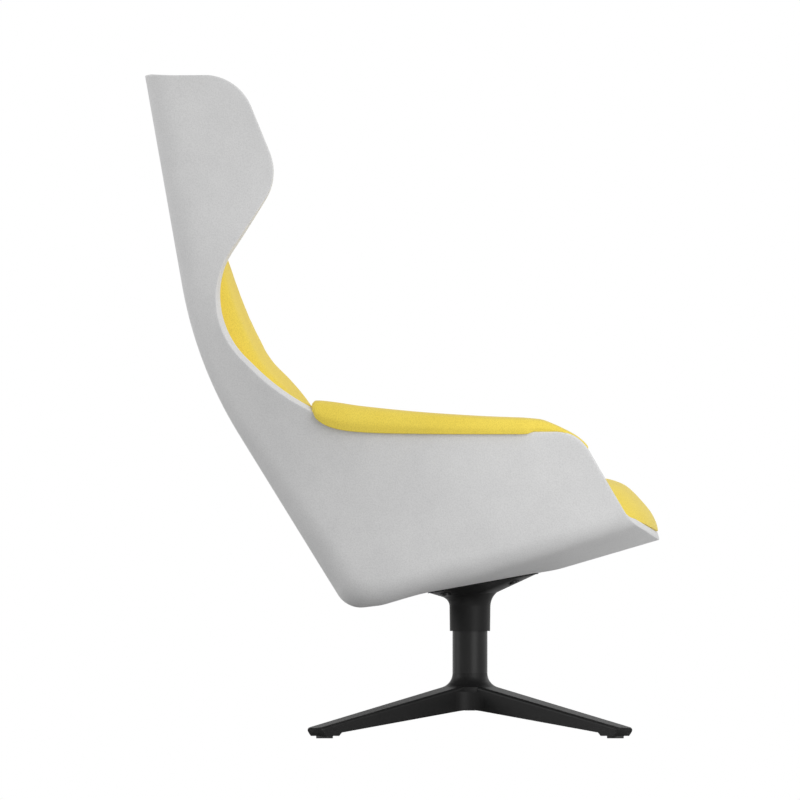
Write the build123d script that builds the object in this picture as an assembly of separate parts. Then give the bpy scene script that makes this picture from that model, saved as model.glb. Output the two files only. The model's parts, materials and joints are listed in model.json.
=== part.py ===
from build123d import *
import os
from math import atan2, cos, degrees, hypot, radians, sin, tan

# High-backed wing lounge chair on a swivel column, millimetres, +Z up, front towards -Y.
# While it is modelled the swivel axis is the Z axis and the floor is Z = 0.

# Fits
REST_GAP = 0.3
RUN_GAP = 0.05
PRESS_GAP = 0.02
BOLT_GAP = 0.5

# Outer line of the shell in side view, (y, z), from the head to the front lip
HEAD_TOP = (539, 1100)
BACK_BEND = (454, 619)
SEAT_HEEL = (204, 214)
SEAT_TURN = (146, 221)
MOUNT_REAR = (80, 240)
MOUNT_FRONT = (-146, 280)
FRONT_LIP = (-313, 329)
BEND_RADIUS = 700
HEEL_RADIUS = 45
TURN_RADIUS = 100
MOUNT_REAR_RADIUS = 250
MOUNT_FRONT_RADIUS = 200
TRIM_ALLOWANCE = 25
SECTION_STEP = 60
LIP_STEP = 24
SECTION_TURN = 12

# Cross sections of the shell: place along the outer line, lean of the sides above the forward
# horizontal, depth of the sides before trimming, half width at the corner, splay, corner radius
SECTION_KEYS = (
    (0.00, 0, 240, 262, 4, 46),
    (0.16, 3, 240, 262, 5, 46),
    (0.23, 7, 245, 250, 24, 48),
    (0.29, 15, 250, 239, 42, 50),
    (0.34, 24, 260, 238, 42, 53),
    (0.41, 39, 280, 243, 37, 58),
    (0.50, 51, 305, 256, 26, 64),
    (0.61, 62, 330, 270, 16, 70),
    (0.72, 66, 330, 279, 14, 75),
    (0.86, 82, 300, 282, 13, 95),
    (0.93, 86, 280, 266, 19, 200),
    (1.00, 90, 260, 284, 40, 500),
)
SHELL_THICKNESS = 14
WALL_GAP = SHELL_THICKNESS + REST_GAP

# Rim of the shell in side view, (y, z) corners with their radii
WING_TOP = (387, 1100)
WING_TIP = (320, 925)
WAIST = (458, 711)
ARM_REAR = (255, 508)
ARM_FRONT = (-178, 508)
LIP_CORNER = (-267, 360)
RIM_RADII = (67, 60, 125, 360, 64, 8)
LIP_HALF_WIDTH = 250
REGION_HALF = 500

# Upholstery; the side linings thin out at the waist and at the front of the arms
LINING_SETBACK = 3
WING_LINING = 18
WAIST_LINING = 4
ARM_LINING = 24
ARM_FRONT_LINING = 12
LINING_KEYS = (
    (0.00, WING_LINING),
    (0.17, WING_LINING),
    (0.30, WAIST_LINING),
    (0.36, WAIST_LINING),
    (0.50, ARM_LINING),
    (0.80, ARM_LINING),
    (0.93, ARM_FRONT_LINING),
)
SEAM_GAP = 0.4
LINING_CROWN = 4
LINING_SEAM = 0.315
ARM_END = 0.93
BACK_END = 0.615
BACK_LAND = 3
BACK_SHOULDER = 60
SHOULDER_SHARE = 0.86
BACK_KEYS = (
    (0.00, 42),
    (0.04, 56),
    (0.15, 66),
    (0.26, 93),
    (0.33, 110),
    (0.41, 127),
    (0.50, 130),
    (0.62, 122),
)
BOARD_TOP = 28
BOARD_HALF_WIDTH = 200
BOARD_FRONT = -215
BOARD_REAR = 112
BOARD_CORNER = 40
CUSHION_FRONT = -323
CUSHION_REAR = 190
CUSHION_HALF_WIDTH = 272
CUSHION_SIDE_GAP = 3.4
CUSHION_BOW = 34
CUSHION_CORNER = 190
CUSHION_ROWS = (
    (14, 12, 4),
    (44, 0, 0),
    (74, 0, 6),
    (99, 4, 22),
    (119, 13, 40),
    (138, 34, 72),
    (146, 66, 112),
)

# Arm pads: place along y, height of the top, height of the bottom, overhang past the shell
PAD_KEYS = (
    (259, 556, 540, 3),
    (253, 560, 528, 6),
    (226, 558, 516, 8),
    (180, 552, 508, 8),
    (80, 543, 505, 8),
    (-20, 536, 504, 8),
    (-70, 533, 504, 7),
    (-104, 531, 504, 0),
    (-140, 526, 502, -3),
    (-172, 511, 492, -3),
    (-192, 490, 476, -4),
)
PAD_REACH = 47
PAD_STEP = 60
PAD_DROP = 0.34
PAD_CROWN = 0.20
PAD_BULGE = 0.10
PAD_LEAN = 0.10
CORE_THICKNESS = 8
CORE_WIDTH = 22
CORE_REAR = 52
CORE_FRONT = -98
CORE_SCREW_YS = (34, -23, -80)
CORE_SCREW_RADIUS = 2
CORE_SCREW_HEAD_RADIUS = 4
CORE_SCREW_HEAD = 2.6
CORE_SCREW_LENGTH = 28

# Star base
LEG_TURNS = (45, 135, 225, 315)
TIP_RADIUS = 368
TIP_UNDERCUT = 13
LEG_TOP_AT_AXIS = 94.6
LEG_TOP_FALL = 0.21
LEG_UNDER_AT_AXIS = 51.5
LEG_UNDER_FALL = 0.129
LEG_ROOT_HALF_WIDTH = 24
LEG_TIP_HALF_WIDTH = 18
LEG_TIP_CORNER = 9
LEG_EDGE = 5
LEG_WALL = 6
LEG_POCKETS = 3
LEG_RIB = 4
LEG_BLEND = 34
FOOT_LENGTH = 30
GLIDE_CIRCLE = 341
GLIDE_RADIUS = 14
GLIDE_EDGE = 1
GLIDE_HEIGHT = 4
GLIDE_STEM_RADIUS = 4
GLIDE_STEM = 8
HUB_RADIUS = 46
HUB_REACH = 72
HUB_TOP = 108
HUB_WEB_UNDER = 56
HUB_WEB = 9

# Column and swivel
COLUMN_RADIUS = 29
COLUMN_WALL = 3
COLUMN_TOP = 200
PLUG_SPIGOT_RADIUS = 20
PLUG_HEAD = 14
BOLT_RADIUS = 6
BOLT_HEAD_RADIUS = 9.5
BOLT_HEAD = 7.5
BOLT_GRIP = 30
BOLT_WASHER_RADIUS = 12
BOLT_WASHER = 2.5
BUSH_LENGTH = 20
BUSH_FLANGE = 3
BUSH_FLANGE_RADIUS = 28.5
THRUST_WASHER = 2.5
SPINDLE_RADIUS = 14
SPINDLE_TAIL = 2.5
CIRCLIP = 1.5
CIRCLIP_GROOVE = 1.2
CIRCLIP_RADIUS = 16.5
RETAINER = 2
RETAINER_RADIUS = 22
SLEEVE_BOTTOM = 178
SLEEVE_TOP = 220
SLEEVE_RADIUS = 34
SLEEVE_DRAFT = 0.6
SLEEVE_GAP = 0.8
SPINDLE_SEAT = 30
SPINDLE_WEB = 8
SPINDLE_SCREW_RADIUS = 5
SPINDLE_SCREW_HEAD_RADIUS = 9
SPINDLE_SCREW_HEAD = 6
SPINDLE_SCREW_LENGTH = 38

# Mount flange and its screws, in the mount plane: x across, y to the rear
MOUNT_FACET = 0.5
FLANGE_HALF_WIDTH = 78
FLANGE_FRONT = -115
FLANGE_REAR = 71
FLANGE_CORNER = 34
FLANGE_EDGE = 2
THROAT_DROP = 16
THROAT_HALF = 45
THROAT_ROUND = 0.85
NECK_ROUND = 0.985
BEND_ROUND = 0.94
NECK_GROWTH = 2.5
MOUNT_SCREW_X = 52
MOUNT_SCREW_YS = (42, -72)
MOUNT_SCREW_RADIUS = 4
MOUNT_SCREW_HEAD_RADIUS = 7
MOUNT_SCREW_HEAD = 5
MOUNT_WASHER_RADIUS = 8.5
MOUNT_WASHER = 1.6
POCKET_RADIUS = 9.5
POCKET_FLOOR = 4
TEE_NUT_RADIUS = 11
TEE_NUT_FLANGE = 1.5
TEE_NUT_BARREL_RADIUS = 5.2
TEE_NUT_BARREL = 9
KEY_SHARE = 0.55


# Helpers for round parts and side profiles
def disc(radius, bottom, height):
    return Pos(0, 0, bottom) * Cylinder(radius, height, align=(Align.CENTER, Align.CENTER, Align.MIN))


def ring(outer, inner, bottom, height):
    return disc(outer, bottom, height) - disc(inner, bottom, height)


def hexagon(radius, bottom, height):
    return Pos(0, 0, bottom) * extrude(RegularPolygon(radius, 6), height)


def spun(*lines):
    return revolve(Plane.XZ * make_face(lines), Axis.Z)


def across(face, half_width):
    return extrude(Plane.YZ * face, half_width, both=True)


def toward(start, end, distance):
    span = hypot(end[0] - start[0], end[1] - start[1])
    return tuple(a + (b - a) * distance / span for a, b in zip(start, end))


# Middle of a line, pushed out to its right
def bulged(start, end, rise):
    run, climb = end[0] - start[0], end[1] - start[1]
    span = hypot(run, climb)
    return (start[0] + end[0]) / 2 + rise * climb / span, (start[1] + end[1]) / 2 - rise * run / span


# Smooth value between rows of keys, with slopes taken from the neighbouring rows
def eased(keys, place, column):
    places = [row[0] for row in keys]
    values = [row[column] for row in keys]
    last = len(keys) - 1
    place = min(max(place, min(places)), max(places))
    rising = places[-1] > places[0]
    span = 0
    while span < last - 1 and (place > places[span + 1]) == rising:
        span += 1
    width = places[span + 1] - places[span]
    share = (place - places[span]) / width

    def slope(row):
        before, after = max(row - 1, 0), min(row + 1, last)
        return (values[after] - values[before]) / (places[after] - places[before]) * width

    turn_a, turn_b = slope(span), slope(span + 1)
    rise = values[span + 1] - values[span]
    bend = (turn_a + turn_b - 2 * rise) * share + 3 * rise - 2 * turn_a - turn_b
    return values[span] + share * (turn_a + share * bend)


# Outer line and the cross sections standing on it
SPINE_START = toward(HEAD_TOP, BACK_BEND, -TRIM_ALLOWANCE)
SPINE_END = toward(FRONT_LIP, MOUNT_FRONT, -TRIM_ALLOWANCE)
spine = FilletPolyline(
    SPINE_START, BACK_BEND, SEAT_HEEL, SEAT_TURN, MOUNT_REAR, MOUNT_FRONT, SPINE_END,
    radius=(BEND_RADIUS, HEEL_RADIUS, TURN_RADIUS, MOUNT_REAR_RADIUS, MOUNT_FRONT_RADIUS),
)


def section_places(first=0.0, last=1.0):
    places, gone = [first], 0.0
    lip_edge = spine.edges()[-1]
    for edge in spine.edges():
        turn = (edge % 0).get_angle(edge % 1)
        step_length = LIP_STEP if edge == lip_edge else SECTION_STEP
        steps = max(1, round(edge.length / step_length), round(turn / SECTION_TURN))
        for step in range(1, steps + 1):
            place = (gone + edge.length * step / steps) / spine.length
            if first + 0.01 < place < last - 0.01:
                places.append(place)
        gone += edge.length
    return places + [last]


class Section:
    """Plane across the chair on the outer line: x to the side, y up along the sides."""

    def __init__(self, place):
        self.place = place
        self.y, self.z, _ = spine @ place
        values = [eased(SECTION_KEYS, place, n) for n in range(1, 6)]
        lean, self.depth, self.half, splay, self.radius = values
        self.lean = radians(lean)
        self.splay = radians(splay)
        along = spine % place
        self.slant = abs(cos(self.lean) * along.Y + sin(self.lean) * along.X)
        down = (0, -sin(self.lean), -cos(self.lean))
        self.plane = Plane((0, self.y, self.z), x_dir=(1, 0, 0), z_dir=down)

    def side(self, depth, inset):
        return self.half + depth * tan(self.splay) - inset / cos(self.splay), depth

    def half_line(self, base_inset, side_inset):
        floor = base_inset / self.slant
        corner, _ = self.side(floor, side_inset)
        radius = self.radius - side_inset
        turn = radians(90) - self.splay
        run = radius * tan(turn / 2)
        flat = (corner - run, floor)
        bend = (corner - run + radius * sin(turn / 2), floor + radius - radius * cos(turn / 2))
        end = (corner + run * sin(self.splay), floor + run * cos(self.splay))
        return flat, bend, end

    def back_edge(self):
        return self.half_line(WALL_GAP, WALL_GAP)[2][1] + BACK_LAND

    def u_line(self, base_inset, side_inset, depth):
        flat, bend, end = self.half_line(base_inset, side_inset)
        top = self.side(depth, side_inset)
        left = [(-x, d) for x, d in (top, end, bend, flat)]
        return [
            Line(left[0], left[1]),
            ThreePointArc(left[1], left[2], left[3]),
            Line(left[3], flat),
            ThreePointArc(flat, bend, end),
            Line(end, top),
        ]

    def place_face(self, lines):
        return self.plane * make_face(lines)


def tub_wall(outer_inset, inner_inset):
    faces = []
    for place in section_places():
        section = Section(place)
        outer = section.u_line(outer_inset, outer_inset, section.depth)
        inner = section.u_line(inner_inset, inner_inset, section.depth)
        tips = [Line(outer[0] @ 0, inner[0] @ 0), Line(outer[4] @ 1, inner[4] @ 1)]
        faces.append(section.place_face(outer + inner + tips))
    return loft(faces)


def tub_space(base_inset, side_inset):
    faces = []
    for place in section_places():
        section = Section(place)
        line = section.u_line(base_inset, side_inset, section.depth)
        faces.append(section.place_face(line + [Line(line[4] @ 1, line[0] @ 0)]))
    return loft(faces)


# Side view region behind the rim, and the plan region behind the front lip
def rim_face(setback):
    far_y, far_z = HEAD_TOP[0] + 100, 100
    rim = FilletPolyline(
        (far_y, WING_TOP[1]), WING_TOP, WING_TIP, WAIST, ARM_REAR, ARM_FRONT, LIP_CORNER,
        (FRONT_LIP[0] - 100, LIP_CORNER[1]), radius=RIM_RADII,
    )
    rest = Polyline(rim @ 1, (FRONT_LIP[0] - 100, far_z), (far_y, far_z), rim @ 0)
    face = make_face([*rim.edges(), *rest.edges()])
    return offset(face, -setback) if setback else face


def lip_waste():
    lip_y, wide = LIP_CORNER[0], 2 * LIP_HALF_WIDTH
    lip = ThreePointArc((-LIP_HALF_WIDTH, lip_y), (0, FRONT_LIP[0]), (LIP_HALF_WIDTH, lip_y))
    ahead = FRONT_LIP[0] - 4 * TRIM_ALLOWANCE
    rest = Polyline(lip @ 1, (wide, lip_y), (wide, ahead), (-wide, ahead), (-wide, lip_y), lip @ 0)
    return extrude(make_face([lip, *rest.edges()]), ARM_FRONT[1])


# Section through a point of the side view, and how far up that section the point lies
def section_through(y, z):
    low, high = 0.0, 1.0
    for _ in range(24):
        section = Section((low + high) / 2)
        ahead = (y - section.y) * sin(section.lean) + (z - section.z) * cos(section.lean)
        low, high = (low, section.place) if ahead > 0 else (section.place, high)
    return section, (section.y - y) * cos(section.lean) + (z - section.z) * sin(section.lean)


# Mount plane under the seat
MOUNT_SLOPE = (MOUNT_FRONT[1] - MOUNT_REAR[1]) / (MOUNT_REAR[0] - MOUNT_FRONT[0])
MOUNT_TILT = atan2(MOUNT_SLOPE, 1)
MOUNT_HEIGHT = MOUNT_REAR[1] + MOUNT_SLOPE * MOUNT_REAR[0]
mount_plane = Plane(
    (0, 0, MOUNT_HEIGHT + MOUNT_FACET), x_dir=(1, 0, 0), z_dir=(0, sin(MOUNT_TILT), cos(MOUNT_TILT))
)
screw_places = [mount_plane * Pos(x, y, 0) for y in MOUNT_SCREW_YS for x in (-MOUNT_SCREW_X, MOUNT_SCREW_X)]


# Star base
def leg_half(radius):
    return LEG_ROOT_HALF_WIDTH + (LEG_TIP_HALF_WIDTH - LEG_ROOT_HALF_WIDTH) * radius / TIP_RADIUS


def leg_top(radius):
    return LEG_TOP_AT_AXIS - LEG_TOP_FALL * radius


def leg_under(radius):
    return LEG_UNDER_AT_AXIS - LEG_UNDER_FALL * radius


def leg_block(points, half_root, half_tip, start, end, corner):
    side = extrude(Plane.XZ * make_face(Polyline(*points, close=True)), 2 * LEG_ROOT_HALF_WIDTH, both=True)
    outline = FilletPolyline(
        (start, -half_root), (end, -half_tip), (end, half_tip), (start, half_root),
        radius=(0, corner, corner, 0), close=True,
    )
    return side & extrude(make_face(outline), HUB_TOP)


def star_leg():
    foot_end = TIP_RADIUS - TIP_UNDERCUT
    foot_start = foot_end - FOOT_LENGTH
    points = [
        (0, leg_top(0)), (TIP_RADIUS, leg_top(TIP_RADIUS)), (foot_end, GLIDE_HEIGHT),
        (foot_start, GLIDE_HEIGHT), (foot_start - LEG_WALL, leg_under(foot_start)), (0, leg_under(0)),
    ]
    leg = leg_block(points, leg_half(0), leg_half(TIP_RADIUS), 0, TIP_RADIUS, LEG_TIP_CORNER)
    top = [face for face in leg.faces() if face.normal_at().Z > 0.9][0]
    leg = fillet(top.edges().sort_by(SortBy.LENGTH)[-2:], LEG_EDGE)
    first, last = HUB_RADIUS + LEG_WALL, foot_start - 3 * LEG_WALL
    step = (last - first) / LEG_POCKETS
    for number in range(LEG_POCKETS):
        start = first + number * step
        end = start + step - LEG_RIB
        hollow = [(start, 0), (end, 0), (end, leg_top(end) - LEG_WALL), (start, leg_top(start) - LEG_WALL)]
        leg -= leg_block(hollow, leg_half(start) - LEG_WALL, leg_half(end) - LEG_WALL, start, end, 0)
    return leg - Pos(GLIDE_CIRCLE, 0, 0) * disc(GLIDE_STEM_RADIUS + RUN_GAP, 0, GLIDE_HEIGHT + GLIDE_STEM)


# Round web between two neighbouring legs, and the hollow that carries their undersides on below the hub
def hub_web():
    start = LEG_ROOT_HALF_WIDTH + LEG_BLEND
    corner = leg_half(start) * 2 ** 0.5
    reach = corner + LEG_BLEND * cos(radians(45))
    half = LEG_BLEND * sin(radians(45))
    arc = ThreePointArc((reach, -half), (corner + LEG_BLEND * (2 ** 0.5 - 1), 0), (reach, half))
    sides = Polyline(arc @ 1, (0, 0), arc @ 0)
    bottom, top = leg_under(HUB_REACH), leg_top(start) - LEG_EDGE
    return Pos(0, 0, bottom) * extrude(make_face([arc, *sides.edges()]), top - bottom)


def hub_hollow():
    halves = (HUB_REACH, BOLT_WASHER_RADIUS)
    squares = [Pos(0, 0, leg_under(half)) * Rectangle(2 * half, 2 * half) for half in halves]
    return Rot(0, 0, LEG_TURNS[0]) * loft(squares, ruled=True)


def star_base():
    shoulder = (HUB_RADIUS, leg_top(HUB_RADIUS))
    bottom = leg_under(HUB_REACH)
    base = spun(
        Polyline((0, HUB_TOP), (0, bottom), (HUB_RADIUS, bottom), shoulder),
        TangentArc((COLUMN_RADIUS, HUB_TOP), shoulder, tangent=(0, -1)),
        Line((COLUMN_RADIUS, HUB_TOP), (0, HUB_TOP)),
    )
    for turn in LEG_TURNS:
        base += Rot(0, 0, turn - LEG_TURNS[0]) * hub_web()
    base -= hub_hollow()
    leg = star_leg()
    for turn in LEG_TURNS:
        base += Rot(0, 0, turn) * leg
    base -= disc(PLUG_SPIGOT_RADIUS, HUB_WEB_UNDER + HUB_WEB, HUB_TOP)
    base -= disc(BOLT_RADIUS + BOLT_GAP, 0, HUB_TOP)
    return base - disc(BOLT_WASHER_RADIUS + BOLT_GAP, 0, HUB_WEB_UNDER)


def foot_glides():
    glide = disc(GLIDE_RADIUS, 0, GLIDE_HEIGHT)
    glide = fillet(glide.edges().sort_by(Axis.Z)[0], GLIDE_EDGE)
    glide += disc(GLIDE_STEM_RADIUS, GLIDE_HEIGHT, GLIDE_STEM - RUN_GAP)
    return Compound([Rot(0, 0, turn) * Pos(GLIDE_CIRCLE, 0, 0) * glide for turn in LEG_TURNS])


# Column and swivel, stacked upwards from the hub
PLUG_BOTTOM = HUB_WEB_UNDER + HUB_WEB
PLUG_TOP = HUB_TOP + PLUG_HEAD
TUBE_INSIDE = COLUMN_RADIUS - COLUMN_WALL
SPINDLE_BOTTOM = PLUG_TOP + SPINDLE_TAIL
GROOVE_BOTTOM = SPINDLE_BOTTOM + SPINDLE_TAIL
GROOVE_RADIUS = SPINDLE_RADIUS - CIRCLIP_GROOVE
RETAINER_BOTTOM = GROOVE_BOTTOM + CIRCLIP + 2 * RUN_GAP
LOWER_BUSH_BOTTOM = RETAINER_BOTTOM + RETAINER + 2 * RUN_GAP
FLANGE_TOP = COLUMN_TOP + BUSH_FLANGE
THRUST_TOP = FLANGE_TOP + THRUST_WASHER
CEILING = THRUST_TOP + RUN_GAP
SPINDLE_TOP = CEILING + SPINDLE_SEAT
SPINDLE_HEAD_SEAT = SPINDLE_TOP + SPINDLE_WEB


def column_plug():
    plug = disc(PLUG_SPIGOT_RADIUS - PRESS_GAP, PLUG_BOTTOM, HUB_TOP - PLUG_BOTTOM)
    plug += disc(TUBE_INSIDE - PRESS_GAP, HUB_TOP, PLUG_HEAD)
    return plug - disc(BOLT_RADIUS + PRESS_GAP, PLUG_BOTTOM, BOLT_GRIP + BOLT_WASHER)


def column_bolt():
    head_top = HUB_WEB_UNDER - BOLT_WASHER
    return hexagon(BOLT_HEAD_RADIUS, head_top - BOLT_HEAD, BOLT_HEAD) + disc(
        BOLT_RADIUS, head_top, PLUG_BOTTOM + BOLT_GRIP - head_top
    )


def bush(bottom):
    return ring(TUBE_INSIDE - PRESS_GAP, SPINDLE_RADIUS + RUN_GAP, bottom, BUSH_LENGTH)


def spindle():
    shaft = disc(SPINDLE_RADIUS, SPINDLE_BOTTOM, SPINDLE_TOP - SPINDLE_BOTTOM)
    shaft -= ring(SPINDLE_RADIUS, GROOVE_RADIUS, GROOVE_BOTTOM, CIRCLIP + 2 * RUN_GAP)
    depth = SPINDLE_SCREW_LENGTH - SPINDLE_WEB + 2
    return shaft - disc(SPINDLE_SCREW_RADIUS + PRESS_GAP, SPINDLE_TOP - depth, depth)


def circlip():
    clip = ring(CIRCLIP_RADIUS, GROOVE_RADIUS + PRESS_GAP, GROOVE_BOTTOM + RUN_GAP, CIRCLIP)
    return clip - Pos(0, -CIRCLIP_RADIUS, GROOVE_BOTTOM) * Box(SPINDLE_RADIUS, CIRCLIP_RADIUS, 4 * CIRCLIP)


def screw(radius, head_radius, head, length, key):
    body = disc(head_radius, -head, head) + disc(radius, 0, length)
    return body - hexagon(key * head_radius, -head, head / 2)


def spindle_screw():
    body = screw(
        SPINDLE_SCREW_RADIUS, SPINDLE_SCREW_HEAD_RADIUS, SPINDLE_SCREW_HEAD, SPINDLE_SCREW_LENGTH, KEY_SHARE
    )
    return Pos(0, 0, SPINDLE_HEAD_SEAT) * Rot(180, 0, 0) * body


def flange_outline(inset):
    middle = (FLANGE_FRONT + FLANGE_REAR) / 2
    outline = RectangleRounded(
        2 * (FLANGE_HALF_WIDTH - inset), FLANGE_REAR - FLANGE_FRONT - 2 * inset, FLANGE_CORNER - inset
    )
    return Pos(0, middle) * outline


def neck_outline(height, tilt, half, round_share):
    return Pos(0, 0, height) * Rot(-tilt, 0, 0) * RectangleRounded(2 * half, 2 * half, half * round_share)


def swivel_mount():
    tilt = degrees(MOUNT_TILT)
    throat_height = MOUNT_HEIGHT - THROAT_DROP
    neck = neck_outline(SLEEVE_TOP, 0, SLEEVE_RADIUS, NECK_ROUND)
    bend_height = (SLEEVE_TOP + throat_height) / 2
    bend = neck_outline(bend_height, tilt / 4, SLEEVE_RADIUS + NECK_GROWTH, BEND_ROUND)
    throat = neck_outline(throat_height, tilt / 2, THROAT_HALF, THROAT_ROUND)
    under = mount_plane * Pos(0, 0, -FLANGE_EDGE / 2) * flange_outline(FLANGE_EDGE / 2)
    body = loft([neck, bend, throat]) + loft([throat, under], ruled=True)
    body += mount_plane * Pos(0, 0, -FLANGE_EDGE) * extrude(flange_outline(0), FLANGE_EDGE)
    body += spun(
        Polyline(
            (0, SLEEVE_BOTTOM), (SLEEVE_RADIUS - SLEEVE_DRAFT, SLEEVE_BOTTOM), (SLEEVE_RADIUS, SLEEVE_TOP),
            (SLEEVE_RADIUS - SLEEVE_DRAFT, SLEEVE_TOP + 2), (0, SLEEVE_TOP + 2), close=True,
        )
    )
    body -= disc(COLUMN_RADIUS + SLEEVE_GAP, SLEEVE_BOTTOM - 1, CEILING - SLEEVE_BOTTOM + 1)
    body -= disc(SPINDLE_RADIUS + PRESS_GAP, CEILING - 1, SPINDLE_SEAT + 1)
    body -= disc(SPINDLE_SCREW_RADIUS + BOLT_GAP, CEILING, MOUNT_HEIGHT)
    body -= disc(SPINDLE_SCREW_HEAD_RADIUS + 2 * BOLT_GAP, SPINDLE_HEAD_SEAT, MOUNT_HEIGHT)
    for place in screw_places:
        body -= place * disc(MOUNT_SCREW_RADIUS + BOLT_GAP, -4 * POCKET_FLOOR, 5 * POCKET_FLOOR)
        body -= place * disc(POCKET_RADIUS, -5 * POCKET_FLOOR, 4 * POCKET_FLOOR)
    return body


# Shell, seat board and the fasteners that clamp them to the mount
def clearance_holes(piece, radius):
    for place in screw_places:
        piece -= place * disc(radius, -BOARD_TOP, 3 * BOARD_TOP)
    return piece


def board_block(margin, height):
    outline = Rectangle(2 * (BOARD_HALF_WIDTH + margin), BOARD_REAR - BOARD_FRONT + 2 * margin)
    outline = Pos(0, (BOARD_REAR + BOARD_FRONT) / 2) * fillet(outline.vertices(), BOARD_CORNER + margin)
    return mount_plane * extrude(outline, height)


def tee_nut():
    nut = disc(TEE_NUT_RADIUS, BOARD_TOP - TEE_NUT_FLANGE, TEE_NUT_FLANGE)
    nut += disc(TEE_NUT_BARREL_RADIUS, BOARD_TOP - TEE_NUT_FLANGE - TEE_NUT_BARREL, TEE_NUT_BARREL)
    return nut - disc(MOUNT_SCREW_RADIUS + PRESS_GAP, 0, 2 * BOARD_TOP)


def mount_washer():
    bottom = -POCKET_FLOOR - MOUNT_WASHER
    return ring(MOUNT_WASHER_RADIUS, MOUNT_SCREW_RADIUS + BOLT_GAP, bottom, MOUNT_WASHER)


def mount_screw():
    seat = POCKET_FLOOR + MOUNT_WASHER
    length = seat + BOARD_TOP - TEE_NUT_FLANGE
    body = screw(MOUNT_SCREW_RADIUS, MOUNT_SCREW_HEAD_RADIUS, MOUNT_SCREW_HEAD, length, KEY_SHARE)
    return Pos(0, 0, -seat) * body


# Upholstery
def seat_pillow():
    faces = []
    for height, side_inset, front_inset in CUSHION_ROWS:
        half = CUSHION_HALF_WIDTH - side_inset
        front = CUSHION_FRONT + front_inset
        nose = ThreePointArc((-half, front + CUSHION_BOW), (0, front), (half, front + CUSHION_BOW))
        rest = Polyline(nose @ 1, (half, CUSHION_REAR), (-half, CUSHION_REAR), nose @ 0)
        face = make_face([nose, *rest.edges()])
        face = fillet(face.vertices().sort_by(Axis.Y)[:2], CUSHION_CORNER)
        faces.append(mount_plane * Pos(0, 0, height) * face)
    return loft(faces)


def lining_depth(place):
    return eased(LINING_KEYS, place, 1) + LINING_CROWN


def back_face(place, grow):
    section = Section(place)
    crown = eased(BACK_KEYS, place, 1) + grow
    edge = section.back_edge() + grow
    line = section.u_line(SHELL_THICKNESS / 2, SHELL_THICKNESS / 2, edge)
    end = line[4] @ 1
    rise = crown - edge
    ledge = (section.side(edge, WALL_GAP + lining_depth(place) + SEAM_GAP)[0] + grow, edge)
    knee = (ledge[0] - 0.3 * BACK_SHOULDER, edge + 0.6 * rise)
    shoulder = (ledge[0] - BACK_SHOULDER, edge + SHOULDER_SHARE * rise)
    far_ledge, far_knee, far_shoulder = ((-x, d) for x, d in (ledge, knee, shoulder))
    top = [
        Line(end, ledge),
        ThreePointArc(ledge, knee, shoulder),
        ThreePointArc(shoulder, (0, crown), far_shoulder),
        ThreePointArc(far_shoulder, far_knee, far_ledge),
        Line(far_ledge, line[0] @ 0),
    ]
    return section.place_face(line + top)


def back_cushion(grow):
    first = (TRIM_ALLOWANCE + LINING_SETBACK - grow) / spine.length
    last = BACK_END + grow / spine.length
    return loft([back_face(place, grow) for place in section_places(first, last)])


def side_lining(first, last):
    faces = []
    for place in section_places(first, last):
        section = Section(place)
        bottom = section.back_edge() - BACK_LAND
        outer = [section.side(depth, SHELL_THICKNESS / 2) for depth in (bottom, section.depth)]
        crown = WALL_GAP + lining_depth(place)
        inner = [section.side(depth, crown - LINING_CROWN) for depth in (section.depth, bottom)]
        middle = section.side((section.depth + bottom) / 2, crown)
        sides = Polyline(inner[1], outer[0], outer[1], inner[0])
        lines = [sides, ThreePointArc(inner[0], middle, inner[1])]
        faces.append(section.place_face(lines))
    return loft(faces)


# Arm pads, on the sitter's left hand side at +X
def pad_section(y, grow):
    top, bottom, overhang = (eased(PAD_KEYS, y, column) for column in (1, 2, 3))
    section, depth = section_through(y, bottom)
    rim_x, _ = section.side(depth, 0)
    outer = rim_x + overhang + grow
    inner = rim_x - PAD_REACH - grow
    top, bottom = top + grow, bottom - grow
    height = top - bottom
    low_out, low_in = (outer, bottom), (inner, bottom)
    high_out = (outer - PAD_LEAN * height, top - PAD_DROP * height)
    high_in = (inner + PAD_LEAN * height, top - PAD_CROWN * height)
    outline = [
        Line(low_in, low_out),
        ThreePointArc(low_out, bulged(low_out, high_out, PAD_BULGE * height), high_out),
        ThreePointArc(high_out, bulged(high_out, high_in, PAD_CROWN * height), high_in),
        ThreePointArc(high_in, bulged(high_in, low_in, PAD_BULGE * height), low_in),
    ]
    return Plane((0, y, 0), x_dir=(1, 0, 0), z_dir=(0, -1, 0)) * make_face(outline)


def arm_pad(grow):
    ys = [row[0] for row in PAD_KEYS]
    steps = [max(1, round((y - y_next) / PAD_STEP)) for y, y_next in zip(ys, ys[1:])]
    spans = zip(ys, ys[1:], steps)
    ys = ys[:1] + [y + (y_next - y) * (n + 1) / count for y, y_next, count in spans for n in range(count)]
    return loft([pad_section(y, grow) for y in ys])


def core_strip(grow):
    faces = []
    for share in (0, 0.33, 0.67, 1):
        y = CORE_REAR + (CORE_FRONT - CORE_REAR) * share
        section, depth = section_through(y, ARM_FRONT[1])
        middle, _ = section.side(depth, SHELL_THICKNESS / 2)
        y += grow * (1 - 2 * share)
        low, high = ARM_FRONT[1] - grow, ARM_FRONT[1] + CORE_THICKNESS + grow
        half = CORE_WIDTH / 2 + grow
        outline = Pos(middle, (low + high) / 2) * Rectangle(2 * half, high - low)
        faces.append(Plane((0, y, 0), x_dir=(1, 0, 0), z_dir=(0, -1, 0)) * outline)
    return loft(faces)


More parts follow.
